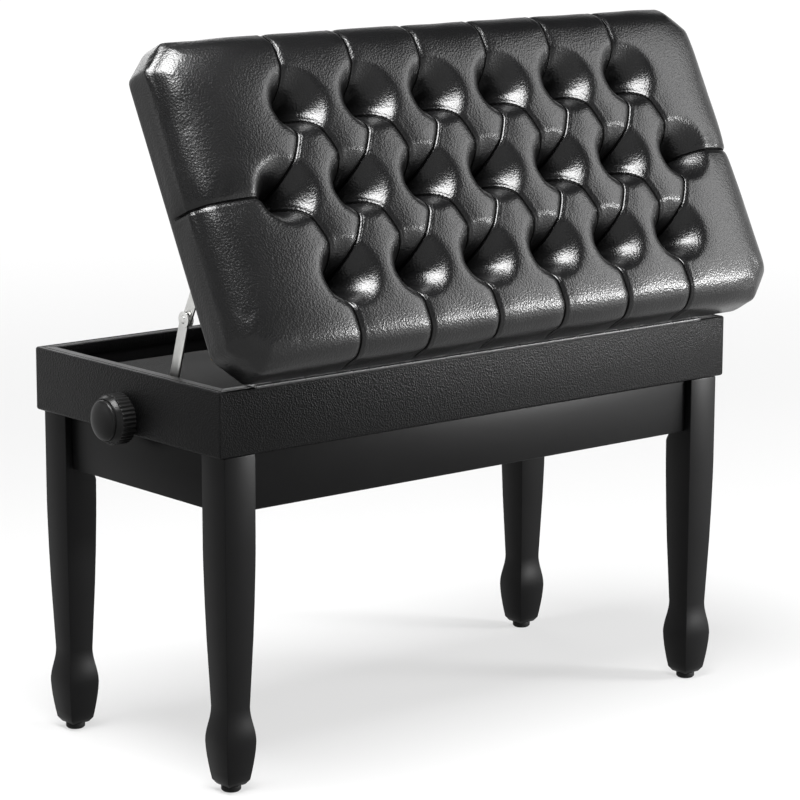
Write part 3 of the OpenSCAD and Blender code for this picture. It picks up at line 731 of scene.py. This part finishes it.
def pad_block():
    """The pad and board as one solid, a little small, with rounded shoulders and cut corners."""
    soft_corner, shoulder, hem = 0.004, 0.027, 0.002
    pad = block("tufted_seat", (pad_left, pad_near, pad_under), (pad_right + right_proud, pad_far, crown))
    pick(pad, "edges", stands_up)
    bpy.ops.mesh.bevel(offset=corner_cut, segments=1, affect="EDGES")
    pick(pad, "edges", stands_up)
    bpy.ops.mesh.bevel(offset=soft_corner, segments=2, affect="EDGES")
    pick(pad, "edges", lambda edge: min(v.co.z for v in edge.verts) > crown - hair)
    bpy.ops.mesh.bevel(offset=shoulder, segments=8, profile=0.5, affect="EDGES")
    pick(pad, "edges", lambda edge: max(v.co.z for v in edge.verts) < pad_under + hair)
    bpy.ops.mesh.bevel(offset=hem, segments=2, affect="EDGES")
    bpy.ops.object.mode_set(mode="OBJECT")
    pad.data.remesh_voxel_size = 0.005
    bpy.ops.object.voxel_remesh()
    return pad


def points_of(piece):
    co = np.zeros(len(piece.data.vertices) * 3)
    piece.data.vertices.foreach_get("co", co)
    return co.reshape(-1, 3)


def normals_of(piece):
    return np.array([vertex.normal for vertex in piece.data.vertices])


def set_points(piece, co):
    piece.data.vertices.foreach_set("co", co.ravel())
    piece.data.update()


def tuft(pad):
    """Draws the pad down at its tufts and along its pleats. The band round the board stays
    straight, and stands a little proud of the board's edge."""
    board_top, foam_rise, band_proud = 0.0132, 0.020, 0.0009
    pull_start, pull_whole = 0.030, crown - 0.010
    valley_spread = 0.007
    co = points_of(pad)
    normals = normals_of(pad)
    flat = co[:, :2]
    raised = np.clip((co[:, 2] - board_top) / foam_rise, 0, 1)
    top = np.clip((co[:, 2] - pull_start) / (pull_whole - pull_start), 0, 1)
    distance, depth = nearest_pleat(flat)
    valley = depth * np.exp(-np.abs(distance) / valley_spread)
    co -= normals * (valley * raised)[:, None]
    co[:, :2] += normals[:, :2] * (band_proud * (1 - raised))[:, None]
    co[:, 2] -= (tuft_pull(flat) + edge_fall(flat)) * top
    set_points(pad, co)


def inflate(pad):
    """Cloth under air pressure, held at the tufts, the pleats and the board, swells the
    diamonds between them. No point moves further than the cap."""
    cap, steps = 0.004, 20
    held_round_well, held_round_pleat, held_below = 0.017, 0.0035, 0.016
    co = points_of(pad)
    distance = nearest_pleat(co[:, :2])[0]
    plan = co[:, None, :2] - np.array([list(well) for well in wells])[None]
    in_well = np.hypot(plan[..., 0], plan[..., 1]).min(1) < held_round_well
    held = np.where((np.abs(distance) < held_round_pleat) | in_well | (co[:, 2] < held_below))[0]
    group = pad.vertex_groups.new(name="held")
    group.add([int(i) for i in held], 1.0, "REPLACE")
    cloth = pad.modifiers.new("Cloth", "CLOTH")
    cloth.settings.quality = 4
    cloth.settings.mass = 0.25
    cloth.settings.tension_stiffness = 18
    cloth.settings.compression_stiffness = 18
    cloth.settings.shear_stiffness = 8
    cloth.settings.bending_stiffness = 1.2
    cloth.settings.use_pressure = True
    cloth.settings.uniform_pressure_force = 4
    cloth.settings.effector_weights.gravity = 0
    cloth.settings.vertex_group_mass = group.name
    cloth.collision_settings.use_collision = False
    for step in range(1, steps + 1):
        bpy.context.scene.frame_set(step)
    move = points_of(pad.evaluated_get(bpy.context.evaluated_depsgraph_get())) - co
    length = np.linalg.norm(move, axis=1)
    move *= np.minimum(1, cap / np.maximum(length, 1e-9))[:, None]
    pad.modifiers.remove(cloth)
    bpy.context.scene.frame_set(1)
    set_points(pad, co + move)


def fold_pleats(pad):
    """After the last subdivision: cuts each pleat's crease, raises the lip of the fold beside
    it, and slackens the hide a little. The distances stay on the mesh for the finish."""
    crease_width, crease_depth = 0.0022, 0.0022
    lip_from_line, lip_width, lip_height = 0.0048, 0.0026, 0.0005
    slack_scale, slack_height = 16, 0.0008
    fold_start, fold_rise = 0.010, 0.010
    marked_side, marked_to, marked_fade = 0.008, 0.0055, 0.0015
    co = points_of(pad)
    normals = normals_of(pad)
    distance = nearest_pleat(co[:, :2])[0]
    raised = np.clip((co[:, 2] - fold_start) / fold_rise, 0, 1)
    crease = np.exp(-(distance / crease_width) ** 2)
    lip = np.exp(-((distance - lip_from_line) / lip_width) ** 2)
    co += normals * ((lip_height * lip - crease_depth * crease) * raised)[:, None]
    slack = np.array([noise.noise(Vector(point) * slack_scale) for point in co])
    co += normals * (slack_height * slack * raised)[:, None]
    set_points(pad, co)
    side_mm = np.clip(distance, -marked_side, marked_side) * 1000
    near = np.clip((marked_to - np.abs(distance)) / marked_fade, 0, 1) * raised
    for name, values in (("pleat_side", side_mm), ("pleat_near", near)):
        attribute = pad.data.attributes.new(name, "FLOAT", "POINT")
        attribute.data.foreach_set("value", values.astype(np.float32))


def seat_leather():
    """Glossy black hide with a fine grain. Along each pleat it has a dark line of painted shade,
    also cut in as a bump, and beside that the roll of the fold; both are set out in millimetres from the
    line."""
    finish = Finish("seat_leather")
    cells = finish.node("ShaderNodeTexVoronoi", {"feature": "SMOOTH_F1"},
                        {"Vector": finish.place(), "Scale": 430, "Randomness": 1.0, "Smoothness": 0.4})
    fine = finish.noise(1100, detail=3)
    cloud = finish.noise(11, detail=4)
    side = finish.node("ShaderNodeAttribute", {"attribute_name": "pleat_side"}, {}, "Fac")
    near = finish.node("ShaderNodeAttribute", {"attribute_name": "pleat_near"}, {}, "Fac")
    off_line = finish.node("ShaderNodeMath", {"operation": "ABSOLUTE"}, {0: side})
    line = finish.fade(off_line, 1.5, 0.8) * near
    lip = finish.fade(side, 1.2, 2.2) * finish.fade(side, 4.0, 2.2) * near
    grain = finish.relief(cells + 0.3 * fine, 0.00034, 0.7)
    hide_colour = finish.tint(cloud, (0.0009, 0.0009, 0.0010), (0.0016, 0.0016, 0.0017))
    # The pleat line is painted shade: along it the hide is mixed most of the way to a near-black matte
    # surface.
    return finish.coat(gap=0.92 * line, Base_Color=hide_colour,
                       Roughness=0.27 + 0.08 * cloud, IOR=1.47, Specular_IOR_Level=0.31,
                       Normal=finish.relief(0.25 * lip - line, 0.0012, 1.0, grain))


board = eased("lid_board", board_arris, planed_pine, "bare_wood", shortest=board_edge)
round_board_corners(board)
hide = seat_leather()
seat = pad_block()
tuft(seat)
inflate(seat)
finer = seat.modifiers.new("finer", "SUBSURF")
finer.levels = finer.render_levels = 1
bpy.ops.object.modifier_apply(modifier=finer.name)
fold_pleats(seat)
seat.data.transform(lid_turn)
bpy.ops.object.shade_smooth()
stands_for(seat, "lid", hide, "seat_leather", "leather_cover", "foam_pad")


# Tuft buttons. Domed metal shells covered in the same leather, pulled down to the board
# with twine at the bottom of each tuft.
button_dome = 0.0042
button_height = button_high.z - button_low.z


def set_out(pattern, places, name):
    """Copies of a pattern piece at these places on the shut lid, joined into one piece and
    turned up with the lid."""
    made = []
    for place in places:
        piece = pattern.copy()
        piece.data = pattern.data.copy()
        piece.data.transform(lid_turn @ place)
        bpy.context.scene.collection.objects.link(piece)
        made.append(piece)
    bpy.data.objects.remove(pattern)
    select_only(*made)
    bpy.ops.object.join()
    made[0].name = name
    return made[0]


button = fresh_primitive(bpy.ops.mesh.primitive_cylinder_add, "button", vertices=32,
                         radius=button_width / 2, depth=button_height)
edit(button)
pick(button, "edges", lambda edge: min(v.co.z for v in edge.verts) > button_height / 2 - hair)
bpy.ops.mesh.bevel(offset=button_dome, segments=6, affect="EDGES")
bpy.ops.object.mode_set(mode="OBJECT")
bpy.ops.object.shade_smooth_by_angle(angle=math.radians(40))
button_z = (button_low.z + button_high.z) / 2
buttons = set_out(button, [Matrix.Translation((well.x, well.y, button_z)) for well in wells],
                  "covered_buttons")
stands_for(buttons, "lid", hide, "seat_leather", "tuft_buttons")


# Dust cover. Black non-woven cambric over the underside of the board, its edges turned under
# and fixed with a row of wire staples.
cambric_low, cambric_high = shut_box("dust_cover")
cambric_under, cambric_over = -0.0003, 0.0005
cambric_cut = 0.72 * corner_cut
turned_in = 0.016
turned_thick = 0.0004
staple_size = Vector((0.0105, 0.0011, 0.0005))
staple_round = 0.0001
staple_inset = 0.008
staple_z = -0.0004
clear_of_corner = 0.03


def spaced(low, high, count):
    """Places for so many staples in a row, clear of the corners at its two ends."""
    gap = (high - low - 2 * clear_of_corner) / (count - 1)
    return [low + clear_of_corner + i * gap for i in range(count)]


cambric = block("cambric_cover", (cambric_low.x, cambric_low.y, cambric_under),
                (cambric_high.x, cambric_high.y, cambric_over))
pick(cambric, "edges", stands_up)
bpy.ops.mesh.bevel(offset=cambric_cut, segments=1, affect="EDGES")
pick(cambric, "faces", lambda face: face.normal.z < -0.9)
bpy.ops.mesh.inset(thickness=turned_in)
bpy.ops.mesh.extrude_region_move(TRANSFORM_OT_translate={"value": (0, 0, turned_thick)})
bpy.ops.object.mode_set(mode="OBJECT")
cambric.data.transform(lid_turn)
cambric_black = felt("cambric_black", (0.012,) * 3, (0.022,) * 3)
stands_for(cambric, "lid", cambric_black, "dust_cloth", "dust_cover")

staple = block("staple", -staple_size / 2, staple_size / 2)
bpy.ops.mesh.bevel(offset=staple_round, segments=1, affect="EDGES")
bpy.ops.object.mode_set(mode="OBJECT")
left, right = cambric_low.x + staple_inset, cambric_high.x - staple_inset
near, far = cambric_low.y + staple_inset, cambric_high.y - staple_inset
places = [Matrix.Translation((x, y, staple_z)) for x in spaced(left, right, 16) for y in (near, far)]
places += [Matrix.Translation((x, y, staple_z)) @ Matrix.Rotation(math.pi / 2, 4, "Z")
           for y in spaced(near, far, 8) for x in (left, right)]
stands_for(set_out(staple, places, "cambric_staples"), "lid", zinc, "zinc_steel")


# Lid stays. At each end a folding stay of two flat zinc-plated bars, riveted at the elbow
# between washers and pinned to brackets on the end rail and under the lid.
for part in ("stay_brackets_lower", "stay_brackets_upper", "stay_lower_left", "stay_lower_right",
             "stay_upper_left", "stay_upper_right"):
    eased(part, iron_arris, zinc, "zinc_steel", shortest=iron_edge, smooth=40)
